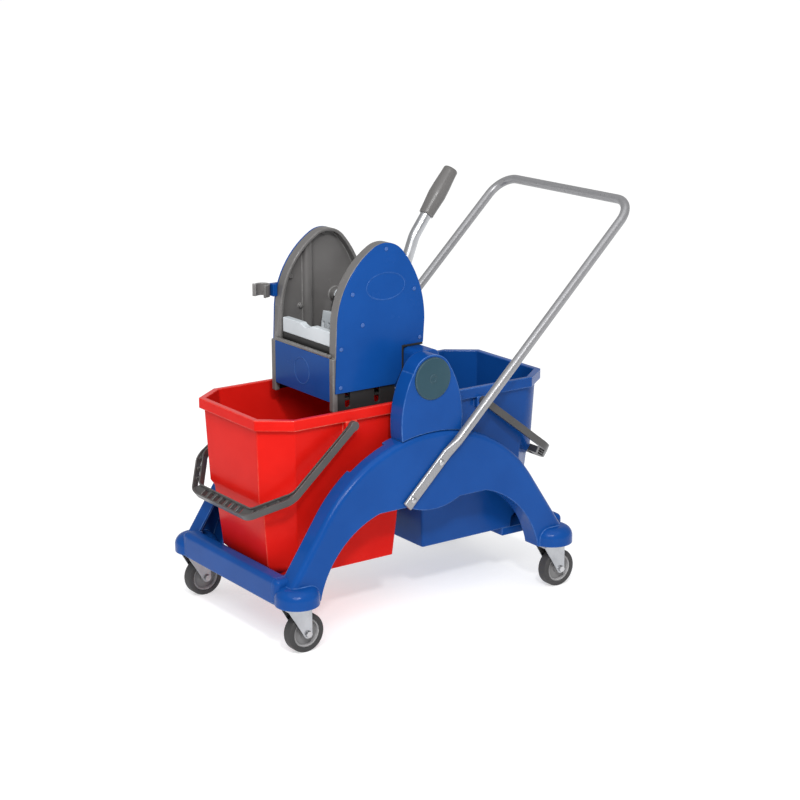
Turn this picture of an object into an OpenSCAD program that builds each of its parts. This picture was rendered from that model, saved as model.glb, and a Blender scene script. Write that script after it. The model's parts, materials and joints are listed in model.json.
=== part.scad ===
// Double mop bucket trolley: a moulded chassis on four swivel casters carries
// two buckets, a lever mop press on a cross beam and a tubular push handle.
// X runs along the trolley (front bucket at -X), Y across it, Z up from the floor.

/* [Buckets] */
// Length of a bucket over its rim
bucket_len = 328; // [300:1:360]
// Width of a bucket over its rim
bucket_w = 286; // [260:2:320]
// Height of a bucket
bucket_h = 312; // [280:1:340]
// Wall thickness of a bucket
bucket_wall = 3; // [2:0.5:5]
// Gap between the two rims over the middle of the chassis
rim_gap = 10; // [6:1:24]
// Height of the turned-down rim skirt
rim_skirt_h = 20; // [14:1:30]
// How far the rim stands out from the wall
rim_overhang = 8; // [6:0.5:12]

/* [Bails] */
// Width of the bail band at the grip
bail_w = 22; // [18:1:24]
// Width of the bail band between the grip and an arm
bail_side_w = 18; // [14:1:20]
// Width of a bail arm
bail_arm_w = 10; // [9:1:12]
// Thickness of the bail band
bail_t = 14; // [10:1:18]
// Reach of the bail from its pivot to the middle of the grip
bail_reach = 244; // [234:1:258]
// Straight length of a bail arm before its corner
bail_arm = 178; // [168:1:188]
// Angle of the hanging bail below the horizontal
bail_drop = 38; // [33:1:42]

/* [Chassis] */
// Depth of a side arch across the trolley
arch_depth = 41; // [34:1:55]
// Radius of the arch's top
arch_r = 290; // [270:2:310]
// Wall thickness of the chassis mouldings
chassis_wall = 5; // [3:0.5:7]
// Radius of the rounded outer edge of the arch
arch_edge_r = 12; // [8:0.5:15]
// Depth of an end beam along the trolley
beam_depth = 34; // [28:1:42]
// Height of an end beam
beam_h = 48; // [44:1:50]
// Diameter of a caster boss
boss_d = 84; // [76:1:92]

/* [Press support] */
// Radius of a tower's round top
tower_top_r = 45; // [43:1:48]
// Thickness of a tower across the trolley
tower_depth = 37; // [34:1:48]
// Width of the cross beam along the trolley
cross_w = 48; // [40:1:56]
// Height of the cross beam
cross_h = 55; // [45:1:64]
// Diameter of a disc cap
cap_d = 80; // [60:1:86]

/* [Casters] */
// Diameter of a caster wheel
wheel_d = 75; // [65:1:80]
// Width of a tyre
tyre_w = 23; // [18:1:26]
// Offset of the axle behind the swivel axis
caster_trail = 13; // [10:1:20]
// Thickness of the fork sheet
fork_t = 2.5; // [2:0.5:3.5]
// Diameter of an axle bolt
axle_bolt_d = 8; // [6:1:10]

/* [Push handle] */
// Diameter of the push handle tube
tube_d = 18; // [16:1:22]
// Wall of the push handle tube
tube_wall = 1.5; // [1:0.25:2.5]
// Angle of the push handle above the horizontal
handle_angle = 44; // [40:1:48]
// Length of a handle leg from its lower bolt to the grip bar
handle_len = 733; // [650:1:800]
// Bend radius at the handle's top corners
handle_bend_r = 48; // [36:1:70]
// Thickness of the flattened foot of a handle leg
foot_t = 9; // [7:0.5:12]

/* [Press] */
// Outer width of the press over its covers
press_w = 220; // [200:2:230]
// Radius of the press's rounded top
press_crown_r = 50; // [46:1:56]
// Thickness of a side cover
cover_t = 3.5; // [2:0.5:5]
// Depth of a side frame with its flange
frame_depth = 22; // [16:1:24]
// Wall of the press frames
frame_wall = 4; // [3:0.5:5]
// Diameter of the pivot axle
axle_d = 16; // [12:1:20]
// Thickness of the jaws
jaw_t = 14; // [12:1:18]
// Height of the drain base under the press
base_h = 35; // [28:1:40]

/* [Lever] */
// Diameter of the lever tube
lever_d = 22; // [18:1:24]
// Length of the lever's lower straight
lever_low = 109; // [100:1:130]
// Length of the lever's upper straight
lever_up = 136; // [120:1:160]
// Slope of the lever's lower straight
lever_low_angle = 69; // [64:1:74]
// Slope of the lever's upper straight
lever_up_angle = 54; // [48:1:60]
// Length of the grip
grip_len = 104; // [90:1:125]
// Largest diameter of the grip
grip_d = 35; // [30:1:40]

/* [Mop clip] */
// Diameter of the mop handle that the clip holds
mop_d = 24; // [20:0.5:26]
// Height of the clip
clip_h = 24; // [18:1:32]

/* [Hidden] */
$fn = 64;

// Clearances: loose seat between pieces, running fit of a pin, cutters' overlap
seat = 0.3;
run = 0.06;
eps = 0.5;

// Colours
blue = [0.12, 0.33, 0.66];
red = [0.88, 0.17, 0.14];
frame_grey = [0.50, 0.48, 0.47];
dark_grey = [0.27, 0.27, 0.28];
cap_grey = [0.29, 0.41, 0.44];
white = [0.92, 0.93, 0.94];
zinc = [0.80, 0.81, 0.83];
tube_silver = [0.66, 0.66, 0.67];
rubber = [0.22, 0.22, 0.22];
hub_grey = [0.52, 0.51, 0.51];

// Heights, from the floor up
caster_gap = 19;
caster_h = wheel_d + caster_gap;
beam_z0 = caster_h;
shelf_h = 20;
bucket_z0 = beam_z0 + shelf_h;
rim_z = bucket_z0 + bucket_h;
skirt_z = rim_z - rim_skirt_h;
arch_below_rim = 54;
arch_top_z = rim_z - arch_below_rim;
cross_above_rim = 38;
cross_z0 = rim_z + cross_above_rim;
cross_z1 = cross_z0 + cross_h;

// Lengths, from the middle of the chassis out
rim_x0 = rim_gap / 2;
rim_x1 = rim_x0 + bucket_len;
beam_proud = 5;
beam_x1 = rim_x1 + beam_proud;
beam_x0 = beam_x1 - beam_depth;
caster_inset = 33;
caster_x = rim_x1 - caster_inset;

// Widths, from the middle plane out
rim_y = bucket_w / 2;
bail_room = 12;
arch_in_y = rim_y + bail_room;
arch_y = arch_in_y + arch_depth;
caster_in = 13;
caster_y = arch_y - caster_in;
boss_r = boss_d / 2;

// Bucket walls: inner end, sides and outer end as functions of height
wall_y1 = rim_y - rim_overhang;
wall_y0 = wall_y1 - 24;
wall_x0_top = rim_x0 + rim_overhang;
wall_x0_low = wall_x0_top + 22;
wall_x1_top = rim_x1 - rim_overhang;
rim_chamfer_x = 57;
rim_chamfer_y = 43;
front_in = 42;
step_in = 6;
step_cut = 9;
low_in = 27;
floor_in = 50;
step_up = 152;
step_z = bucket_z0 + step_up;
step_side_up = 26;
step_side_z = step_z + step_side_up;
step_drop = 12;
low_up = 22;
low_z = bucket_z0 + low_up;
function along(z) = (z - bucket_z0) / (skirt_z - bucket_z0);
function wall_y(z) = wall_y0 + (wall_y1 - wall_y0) * along(z);
function wall_x0(z) = wall_x0_low + (wall_x0_top - wall_x0_low) * along(z);
function chamfer_x(z) = wall_x1_top - rim_chamfer_x + 2 - 18 * (1 - along(z));
function corner_y(z) = wall_y(z) - front_in + 10 * (1 - along(z));

// Bail pivots
pivot_in = 147;
pivot_x = rim_x0 + pivot_in;
pivot_drop = 7;
pivot_z = skirt_z - pivot_drop;
peg_r = 5;
lug_out = 3;
lug_y = rim_y + lug_out;
bail_in_y = lug_y + seat;
bail_y = bail_in_y + bail_arm_w / 2;
bail_eye_r = 9;
bail_flare = 13;
bail_bend_y = bail_y + bail_flare;
bail_corner_in = 70;
bail_grip_y = bail_bend_y - bail_corner_in;
bail_bend_r = 30;
bend_steps = 6;

// Arch: round top, legs tangent to it, and two round openings with a lobe between
arch_zc = arch_top_z - arch_r;
leg_foot_x = caster_x + 39;
leg_foot_z = caster_h + 3;
leg_reach = norm([leg_foot_x, leg_foot_z - arch_zc]);
leg_len = sqrt(leg_reach * leg_reach - arch_r * arch_r);
leg_phi = atan2(leg_foot_z - arch_zc, leg_foot_x) + acos(arch_r / leg_reach);
open_r = 187;
open_x = caster_x - 40 - open_r;
open_top_z = arch_top_z - 136;
open_z = open_top_z + 7 - open_r;
lobe_r = 131;
lobe_z = open_top_z - 15;
rib_t = 3;
rib_angles = [62, 76, 90, 104, 118];
notch_x0 = 91;
notch_x1 = 170;
notch_depth = 10;

// Caster boss: a cylinder with a large rounded edge
boss_side_h = 14;
boss_edge_r = 20;
boss_h = boss_side_h + boss_edge_r;
stem_r = 5.5;
stem_len = 28;
stem_flange_r = 20;
stem_flange_t = 3.2;
stem_head_r = 8;
stem_head_t = 2.5;

// Fork and wheel
wheel_r = wheel_d / 2;
axle_z = wheel_r;
bolt_r = axle_bolt_d / 2;
fork_gap = 2.5;
fork_in = tyre_w / 2 + fork_gap;
fork_out = fork_in + fork_t;
fork_z1 = caster_h - stem_flange_t - 2 * seat;
fork_plate_t = 4;
fork_z0 = fork_z1 - fork_plate_t;
fork_half = 27;
fork_toe_r = 9;
toe_steps = 12;
hub_r = wheel_r - 10;
tyre_seat = 0.05;
hub_core_r = 10;
hub_web_t = 6;
bolt_head_r = 6.5;
bolt_head_t = 4;

// Press support
tower_x = -3;
tower_zc = cross_z1 + 1 - tower_top_r;
tower_out_y = arch_y - 3;
tower_in_y = tower_out_y - tower_depth;
flank_r = 200;
flank_x = 130;
flank_z = tower_zc - 85;
cross_x0 = -9;
cross_x1 = cross_x0 + cross_w;
cross_edge_r = 12;
cap_t = 4;
cap_seat = 1;
access_r = cap_d / 2 - 6;
spigot_len = 6;
tower_screw_x = 24;
tower_screw_r = 2.5;
tower_screw_head_r = 5;
tower_screw_in = arch_edge_r + tower_screw_head_r - arch_y + tower_out_y;
tower_boss_r = 7;
tower_boss_h = 26;
cross_bolt_r = 3;
cross_bolt_points = [[2, cross_z0 + 30], [24, cross_z0 + 18]];
cross_boss_r = 6;
cross_boss_len = 12;
shelf_y = rim_y - 5;
tower_rib_x = tower_top_r * 0.8;
tower_rib_y = tower_in_y - 6;
tower_rib_z = flank_z - flank_x;

// Push handle: its lower bolt, the spacing of the two bolts, its plane
tube_r = tube_d / 2;
handle_y = arch_y + seat + tube_r;
foot_y = arch_y + seat + foot_t / 2;
handle_x0 = -54;
handle_z0 = arch_top_z - 121;
handle_bolt_gap = 89;
foot_w = 21;
foot_end = 17;
foot_len = foot_end + handle_bolt_gap + 22;
foot_blend = 28;
handle_bolt_r = 3;
handle_head_r = 6;
handle_head_t = 3;

// Press: outline of three arcs over nearly straight sides, with a notch that hooks the beam
press_y1 = press_w / 2;
frame_y1 = press_y1 - cover_t;
frame_y0 = frame_y1 - frame_depth;
press_z0 = rim_z + 25;
press_arc_up = 50;
press_arc_z = cross_z1 + press_arc_up;
press_front_x = -158;
press_front_r = 170;
press_rear_x = 39;
press_rear_r = 206;
press_front_c = [press_front_x + press_front_r, press_arc_z];
press_rear_c = [press_rear_x - press_rear_r, press_arc_z];
press_span = press_front_c[0] - press_rear_c[0];
crown_to_front = press_front_r - press_crown_r;
crown_to_rear = press_rear_r - press_crown_r;
crown_dx = (pow(crown_to_rear, 2) - pow(crown_to_front, 2) + pow(press_span, 2)) / (2 * press_span);
press_crown = press_rear_c + [crown_dx, sqrt(pow(crown_to_rear, 2) - pow(crown_dx, 2))];
press_z1 = press_crown[1] + press_crown_r;
press_flare = 5;
press_low_x = press_front_x - press_flare;
saddle_t = 4;
saddle_x0 = cross_x0 - seat - saddle_t;
saddle_z1 = cross_z1 + seat + saddle_t;
tab_x = press_rear_x - 3;
tab_z = saddle_z1 + seat;
hook_x = saddle_x0 - seat;
hook_z = cross_z0 + 12;
press_toe_x = cross_x0 - 20;
flange_t = 6;
outline_steps = 14;

// Front of the press, base and jaws
panel_t = 3;
panel_z0 = press_z0 - 18;
panel_z1 = press_z0 + 65;
panel_x = press_low_x - 2 * seat - panel_t;
post_y = frame_y1 - 13;
panel_y = post_y - seat;
sill_h = 6;
sill_depth = press_front_x - 2 - 2 * seat - panel_x;
base_z1 = press_z0 - seat;
base_z0 = base_z1 - base_h;
base_y = frame_y1 - 1;
base_x0 = press_low_x + flange_t + seat;
base_x1 = press_toe_x + 2;
base_wall = 4;
base_floor_h = 18;
base_floor_t = 4;
slot_places = [base_x0 + 23, base_x0 + 89];
jaw_y = frame_y0 - 4;
fixed_jaw_x0 = press_front_x + 2;
fixed_jaw_z1 = panel_z1 + 46;
fixed_jaw_z0 = panel_z1 + 18;
upstand_t = 6;
jaw_skirt_h = 60;
scallop_r = 36;
scallop_h = 6;
groove = 3;
groove_pitch = 18;
groove_stop = 20;

// Pivot, carrier, moving jaw and lever
axle_x = -22;
axle_up = 68;
axle_pz = cross_z1 + seat + axle_up;
axle_r = axle_d / 2;
bush_t = 3;
bush_r = axle_r + run + bush_t;
bush_flange_r = bush_r + 3;
bush_flange_t = 2;
hub_out_r = axle_r + 7;
hub_y = frame_y0 - bush_flange_t - 2;
jaw_lean = 10;
jaw_top = 31;
jaw_len = 92;
jaw_back = 24;
arm_y = 66;
arm_t = 12;
arm_len = jaw_top + jaw_len * 0.8;
back_t = 4;
lever_r = lever_d / 2;
lever_x0 = axle_x + 74;
lever_z0 = axle_pz + 7;
socket_wall = 4;
socket_len = 46;
socket_floor = 12;
link_h = 26;
link_t = 32;
lever_bend_r = 60;
grip_over = 8;

// Mop clip on the far cover's front edge
clip_wall = 3;
clip_r = mop_d / 2;
clip_gap_angle = 110;
clip_turn = 195;
clip_z = press_arc_z + 42;
clip_low_dz = clip_z - clip_h / 2 - press_arc_z;
clip_edge_x = press_front_x + press_front_r - sqrt(press_front_r * press_front_r - clip_low_dz * clip_low_dz);
bracket_len = 10;
bracket_lap = 22;
bracket_t = 4;
bracket_in = 12;
clip_x = clip_edge_x - bracket_len - clip_r - clip_wall;
clip_y = press_y1 + 4;

// The origin lies on the floor under the middle of the whole object
bail_low_x = -(pivot_x + (bail_reach + bail_w / 2) * cos(bail_drop) + bail_t / 2 * sin(bail_drop));
bar_x = handle_x0 + handle_len * cos(handle_angle);
mid_x = (bail_low_x + bar_x + tube_r) / 2;
module place() {
    translate([-mid_x, 0, 0]) children();
}

// Drawings in the XZ plane, extruded towards -Y
module upright() {
    rotate([90, 0, 0]) children();
}

// Far side as drawn, near side mirrored
module on_side(side) {
    if (side > 0) children();
    else mirror([0, 1, 0]) children();
}

// Rear end as drawn, front end mirrored
module on_end(end) {
    if (end > 0) children();
    else mirror([1, 0, 0]) children();
}

function flip(v) = [for (i = [len(v) - 1 : -1 : 0]) v[i]];
function polar(r, a) = [r * cos(a), r * sin(a)];

// Closed solid through rings of equally many points, from the lowest ring up
module loft(rings) {
    n = len(rings[0]);
    m = len(rings);
    sides = [for (k = [0 : m - 2], i = [0 : n - 1], h = [0, 1])
        h == 0 ? [k * n + i, (k + 1) * n + i, k * n + (i + 1) % n]
               : [(k + 1) * n + i, (k + 1) * n + (i + 1) % n, k * n + (i + 1) % n]];
    floor_face = [for (i = [0 : n - 1]) i];
    top_face = [for (i = [n - 1 : -1 : 0]) (m - 1) * n + i];
    polyhedron(points = [for (r = rings) each r], faces = concat([floor_face], sides, [top_face]));
}

// Chassis: side arches with their caster bosses

// Section of the solid arch in radius and depth, with its outer edge rounded
module arch_section(inset) {
    r0 = arch_r * 0.4;
    r1 = arch_r - inset;
    edge = arch_edge_r - inset;
    translate([r0, inset]) square([r1 - edge - r0, arch_depth]);
    translate([r1 - edge - eps, inset + edge]) square([edge + eps, arch_depth - edge]);
    translate([r1 - edge, inset + edge]) circle(edge);
}

module arch_block(inset) {
    translate([0, arch_zc]) {
        rotate([0, 0, leg_phi]) rotate_extrude(angle = 180 - 2 * leg_phi) arch_section(inset);
        for (end = [-1, 1]) on_end(end) rotate([0, 0, leg_phi]) rotate([90, 0, 0])
            linear_extrude(leg_len) arch_section(inset);
    }
}

module arch_opening(grow) {
    translate([0, 0, -eps]) linear_extrude(2 * arch_depth) difference() {
        intersection() {
            for (end = [-1, 1]) translate([end * open_x, open_z]) circle(open_r + grow, $fn = 96);
            translate([-arch_r, -arch_r]) square([2 * arch_r, open_top_z + grow + arch_r]);
        }
        translate([0, lobe_z + lobe_r]) circle(lobe_r - grow, $fn = 96);
    }
}

module arch_ribs() {
    translate([0, arch_zc, 0]) linear_extrude(arch_depth - chassis_wall) for (a = rib_angles) rotate(a)
        translate([0, -rib_t / 2]) square([arch_r, rib_t]);
}

module arch_shell() {
    difference() {
        arch_block(0);
        arch_opening(0);
        difference() {
            arch_block(chassis_wall);
            arch_opening(chassis_wall);
            arch_ribs();
        }
        translate([-2 * arch_r, -arch_r, arch_depth]) cube([4 * arch_r, 3 * arch_r, arch_depth]);
    }
}

module boss() {
    translate([caster_x, caster_y, caster_h]) rotate_extrude() {
        square([boss_r, boss_side_h]);
        square([boss_r - boss_edge_r, boss_h]);
        intersection() {
            translate([boss_r - boss_edge_r, boss_side_h]) circle(boss_edge_r);
            square([boss_r, boss_h]);
        }
    }
}

module stem_bore() {
    translate([caster_x, caster_y, caster_h - eps]) cylinder(r = stem_r + run, h = stem_len + eps);
}

// Arch and bosses of the far side, whole
module arch() {
    translate([0, arch_y, 0]) upright() arch_shell();
    for (end = [-1, 1]) on_end(end) boss();
}

// Holes and notches of the far side
module arch_cuts() {
    translate([-2 * caster_x, 0, 0]) cube([4 * caster_x, 2 * arch_y, caster_h]);
    for (end = [-1, 1]) on_end(end) {
        stem_bore();
        translate([notch_x0, arch_in_y - eps, open_top_z + 2 * chassis_wall])
            cube([notch_x1 - notch_x0, notch_depth + eps, arch_r]);
    }
    for (t = [0, handle_bolt_gap]) handle_bolt_at(t)
        cylinder(r = handle_bolt_r + seat, h = 4 * arch_depth, center = true);
    at_tower_screws() cylinder(r = tower_screw_r + seat, h = 4 * chassis_wall, center = true);
}

// Chassis: end beams, each with the shelf that carries a bucket's outer end

shelf_reach = 72;
shelf_x0 = beam_x0 - shelf_reach;
beam_y = arch_in_y + 3;
beam_edge_r = 11;
beam_inner_r = 9;

module beam_profile(inset) {
    r_out = beam_edge_r - inset;
    r_in = beam_inner_r - inset;
    x0 = beam_x0 + inset;
    x1 = beam_x1 - inset;
    z1 = beam_z0 + beam_h - inset;
    translate([x0, beam_z0]) square([x1 - x0, z1 - r_out - beam_z0]);
    translate([x0 + r_in, beam_z0]) square([x1 - r_out - x0 - r_in, z1 - beam_z0]);
    translate([x0, beam_z0]) square([2 * r_in, z1 - r_in - beam_z0]);
    translate([x1 - r_out, z1 - r_out]) circle(r_out);
    translate([x0 + r_in, z1 - r_in]) circle(r_in);
}

module end_beam() {
    shelf_top = bucket_z0 - seat;
    skirt_z0 = beam_z0 + 4;
    translate([0, beam_y, 0]) upright() linear_extrude(2 * beam_y) difference() {
        beam_profile(0);
        translate([0, -eps]) beam_profile(chassis_wall);
    }
    for (s = [-1, 0, 1]) translate([0, s * beam_y / 2 + rib_t / 2, 0]) upright()
        linear_extrude(rib_t) beam_profile(eps);
    translate([shelf_x0, -wall_y0, shelf_top - chassis_wall])
        cube([beam_x0 - shelf_x0 + eps, 2 * wall_y0, chassis_wall]);
    for (s = [-1, 1]) translate([shelf_x0, s * (wall_y0 - rib_t / 2) - rib_t / 2, skirt_z0])
        cube([beam_x0 - shelf_x0 + eps, rib_t, shelf_top - skirt_z0]);
    translate([shelf_x0, -wall_y0, skirt_z0]) cube([rib_t, 2 * wall_y0, shelf_top - skirt_z0]);
}

module chassis_frame() {
    color(blue) difference() {
        union() {
            for (side = [-1, 1]) on_side(side) arch();
            for (end = [-1, 1]) on_end(end) end_beam();
        }
        for (side = [-1, 1]) on_side(side) arch_cuts();
    }
}

// Press support: two towers on the arches and the cross beam between them

module tower_profile(inset) {
    translate([tower_x, tower_zc]) circle(tower_top_r - inset);
    intersection() {
        translate([tower_x - flank_x, flank_z]) circle(flank_r - inset, $fn = 128);
        translate([tower_x + flank_x, flank_z]) circle(flank_r - inset, $fn = 128);
        translate([tower_x - flank_r, arch_zc]) square([2 * flank_r, tower_zc + 14 - arch_zc]);
    }
}

// Places of the two screws that hold a tower on its arch, at the arch's top
module at_tower_screws() {
    for (x = [-1, 1]) translate([x * tower_screw_x, tower_out_y - tower_screw_in, arch_top_z]) children();
}

module tower_screws() {
    head_t = 3;
    head_x = tower_screw_x + tower_screw_head_r;
    drop = arch_top_z - arch_zc - sqrt(pow(arch_r - chassis_wall, 2) - pow(head_x, 2));
    color(zinc) for (side = [-1, 1]) on_side(side) at_tower_screws() translate([0, 0, -drop - run]) {
        translate([0, 0, -head_t]) cylinder(r = tower_screw_head_r, h = head_t);
        translate([0, 0, -eps]) cylinder(r = tower_screw_r, h = drop + tower_boss_h - 8);
    }
}

module at_cross_bolts() {
    for (p = cross_bolt_points) translate([p[0], tower_in_y, p[1]]) rotate([90, 0, 0]) children();
}

// A shell open to the middle, with an end plate for the cross beam and a shelf under the bucket rims
module tower() {
    web_y = tower_out_y - chassis_wall;
    rim_shelf_z = skirt_z - seat;
    difference() {
        union() {
            difference() {
                translate([0, tower_out_y, 0]) upright() linear_extrude(tower_depth) tower_profile(0);
                translate([0, web_y, 0]) upright() linear_extrude(tower_depth) tower_profile(chassis_wall);
            }
            translate([0, tower_in_y + chassis_wall, 0]) upright() linear_extrude(chassis_wall)
                intersection() {
                    translate([tower_x, tower_zc]) circle(tower_top_r - eps);
                    translate([-arch_r, cross_z0]) square(2 * arch_r);
                }
            translate([tower_x - tower_top_r, shelf_y, rim_shelf_z - chassis_wall])
                cube([2 * tower_top_r, web_y - shelf_y + eps, chassis_wall]);
            for (s = [-1, 1])
                translate([tower_x + s * tower_rib_x - rib_t / 2, tower_rib_y, tower_rib_z])
                    cube([rib_t, web_y - tower_rib_y + eps, rim_shelf_z - tower_rib_z]);
            at_tower_screws() translate([0, 0, -tower_boss_h / 2]) {
                cylinder(r = tower_boss_r, h = 1.5 * tower_boss_h);
                translate([-tower_boss_r, 0, 0])
                    cube([2 * tower_boss_r, tower_screw_in - chassis_wall + eps, 1.5 * tower_boss_h]);
            }
        }
        translate([0, 2 * arch_y, arch_zc]) rotate([90, 0, 0])
            cylinder(r = arch_r + seat, h = 4 * arch_y, $fn = 128);
        translate([tower_x, tower_out_y + eps, tower_zc]) rotate([90, 0, 0]) {
            cylinder(r = cap_d / 2 + seat, h = cap_seat + eps);
            cylinder(r = access_r, h = 2 * chassis_wall);
        }
        at_tower_screws() translate([0, 0, -tower_boss_h])
            cylinder(r = tower_screw_r + run, h = 2 * tower_boss_h - 6);
        at_cross_bolts() cylinder(r = cross_bolt_r + seat, h = 4 * chassis_wall, center = true);
    }
}

module near_tower() {
    color(blue) on_side(-1) tower();
}

module far_tower() {
    color(blue) on_side(1) tower();
}

module cross_profile(inset) {
    r = cross_edge_r - inset;
    x0 = cross_x0 + inset;
    x1 = cross_x1 - inset;
    z1 = cross_z1 - inset;
    translate([x0, cross_z0 - eps]) square([x1 - x0, z1 - r - cross_z0 + eps]);
    translate([x0 + r, z1 - r]) square([x1 - x0 - 2 * r, r]);
    for (x = [x0 + r, x1 - r]) translate([x, z1 - r]) circle(r);
}

module cross_beam() {
    half = tower_in_y - seat;
    color(blue) difference() {
        union() {
            difference() {
                translate([0, half, 0]) upright() linear_extrude(2 * half) intersection() {
                    cross_profile(0);
                    translate([-arch_r, cross_z0]) square(2 * arch_r);
                }
                translate([0, half - chassis_wall, 0]) upright() linear_extrude(2 * (half - chassis_wall))
                    cross_profile(chassis_wall);
            }
            for (side = [-1, 1]) on_side(side) at_cross_bolts() translate([0, 0, seat + eps])
                cylinder(r = cross_boss_r, h = cross_boss_len);
        }
        for (side = [-1, 1]) on_side(side) at_cross_bolts()
            cylinder(r = cross_bolt_r + run, h = cross_boss_len - 2);
    }
}

module cross_bolts() {
    head_t = 4;
    head_r = 5.5;
    color(zinc) for (side = [-1, 1]) on_side(side) at_cross_bolts() translate([0, 0, -chassis_wall - run]) {
        translate([0, 0, -head_t]) cylinder(r = head_r, h = head_t, $fn = 6);
        translate([0, 0, -eps]) cylinder(r = cross_bolt_r, h = chassis_wall + cross_boss_len - 3);
    }
}

// A cap with a spigot that closes the access hole over the cross beam's bolts
module disc_cap() {
    mark_r = 8;
    translate([tower_x, tower_out_y - cap_seat + run, tower_zc]) rotate([-90, 0, 0]) difference() {
        union() {
            cylinder(r = cap_d / 2, h = cap_t - 1);
            cylinder(r = cap_d / 2 - 1.5, h = cap_t);
            cylinder(r = mark_r, h = cap_t + 1);
            translate([0, 0, -spigot_len]) cylinder(r = access_r - seat, h = spigot_len + eps);
        }
        translate([0, 0, cap_t]) cylinder(r = mark_r - 3, h = 2);
        translate([0, 0, -spigot_len - eps]) cylinder(r = access_r - seat - 3, h = spigot_len + eps);
    }
}

module near_disc_cap() {
    color(cap_grey) on_side(-1) disc_cap();
}

module far_disc_cap() {
    color(cap_grey) on_side(1) disc_cap();
}

// Casters

module caster_stem() {
    translate([0, 0, fork_z0 - seat - stem_head_t]) cylinder(r = stem_head_r, h = stem_head_t);
    translate([0, 0, fork_z0 - seat - eps])
        cylinder(r = stem_r, h = caster_h + stem_len - 2 - fork_z0 + seat + eps);
    translate([0, 0, caster_h - stem_flange_t - seat]) cylinder(r = stem_flange_r, h = stem_flange_t);
}

module caster_stems() {
    color(zinc) for (x = [-1, 1], y = [-1, 1]) translate([x * caster_x, y * caster_y, 0]) caster_stem();
}

function tangent_angle(p, c, r) = atan2(p[1] - c[1], p[0] - c[0]) + acos(r / norm(p - c));

module fork_cheek() {
    toe = [caster_trail, axle_z];
    front = [-fork_half, fork_z0];
    a = tangent_angle(front, toe, fork_toe_r);
    toe_arc = [for (i = [0 : toe_steps]) toe + polar(fork_toe_r, a + (360 - a) * i / toe_steps)];
    polygon(concat([front], toe_arc, [[toe[0] + fork_toe_r, fork_z0 + eps], [-fork_half, fork_z0 + eps]]));
}

module fork() {
    difference() {
        union() {
            for (s = [-1, 1]) translate([0, s * (fork_in + fork_t / 2) + fork_t / 2, 0]) upright()
                linear_extrude(fork_t) fork_cheek();
            translate([-fork_half, -fork_out, fork_z0])
                cube([fork_half + caster_trail + fork_toe_r, 2 * fork_out, fork_plate_t]);
        }
        translate([0, 0, fork_z0 - eps]) cylinder(r = stem_r + run, h = fork_plate_t + 2 * eps);
        translate([caster_trail, fork_out + eps, axle_z]) rotate([90, 0, 0])
            cylinder(r = bolt_r + run, h = 2 * fork_out + 2 * eps);
    }
}

module axle_bolt() {
    translate([caster_trail, 0, axle_z]) rotate([90, 0, 0]) {
        cylinder(r = bolt_r, h = 2 * (fork_out + seat) + 3, center = true);
        for (s = [-1, 1]) translate([0, 0, s * (fork_out + seat + bolt_head_t / 2)])
            cylinder(r = bolt_head_r, h = bolt_head_t, center = true, $fn = 6);
    }
}

module hub() {
    half = tyre_w / 2 - 1.5;
    translate([caster_trail, 0, axle_z]) rotate([90, 0, 0]) difference() {
        rotate_extrude() difference() {
            translate([0, -half]) square([hub_r, 2 * half]);
            for (s = [-1, 1]) translate([hub_core_r, s > 0 ? hub_web_t / 2 : -half - eps])
                square([hub_r - 3 - hub_core_r, half - hub_web_t / 2 + eps]);
        }
        cylinder(r = bolt_r + run, h = tyre_w, center = true);
    }
}

module tyre() {
    edge = 4;
    half = tyre_w / 2;
    translate([caster_trail, 0, axle_z]) rotate([90, 0, 0]) rotate_extrude() {
        translate([hub_r + tyre_seat, -half]) square([wheel_r - edge - hub_r - tyre_seat, tyre_w]);
        translate([wheel_r - edge, -half + edge]) square([edge, tyre_w - 2 * edge]);
        for (s = [-1, 1]) translate([wheel_r - edge, s * (half - edge)]) circle(edge);
    }
}

module at_caster(x, y) {
    translate([x * caster_x, y * caster_y, 0]) children();
}

// Buckets

function bucket_ring(z, z_end, x_end, inset) =
    let (x0 = wall_x0(z) + inset, y = wall_y(z) - inset, xs = chamfer_x(z) - inset * 0.4,
        x1 = x_end - inset, yc = corner_y(z) - inset * 0.4)
    [[x0, -y, z], [xs, -y, z], [x1, -yc, z_end], [x1, yc, z_end], [xs, y, z], [x0, y, z]];

function bucket_rings(inset, z0, z1) = [
    bucket_ring(z0, z0, wall_x1_top - floor_in, inset),
    bucket_ring(low_z, low_z, wall_x1_top - low_in, inset),
    bucket_ring(step_side_z - 6, step_z - step_drop, wall_x1_top - step_in - step_cut, inset),
    bucket_ring(step_side_z, step_z, wall_x1_top - step_in, inset),
    bucket_ring(skirt_z, skirt_z, wall_x1_top, inset),
    bucket_ring(z1, z1, wall_x1_top, inset)];

module rim_outline(inset) {
    x1 = rim_x1 - inset;
    y = rim_y - inset;
    xs = rim_x1 - rim_chamfer_x - inset * 0.4;
    yc = rim_y - rim_chamfer_y - inset * 0.4;
    polygon([[rim_x0 + inset, -y], [xs, -y], [x1, -yc], [x1, yc], [xs, y], [rim_x0 + inset, y]]);
}

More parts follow.
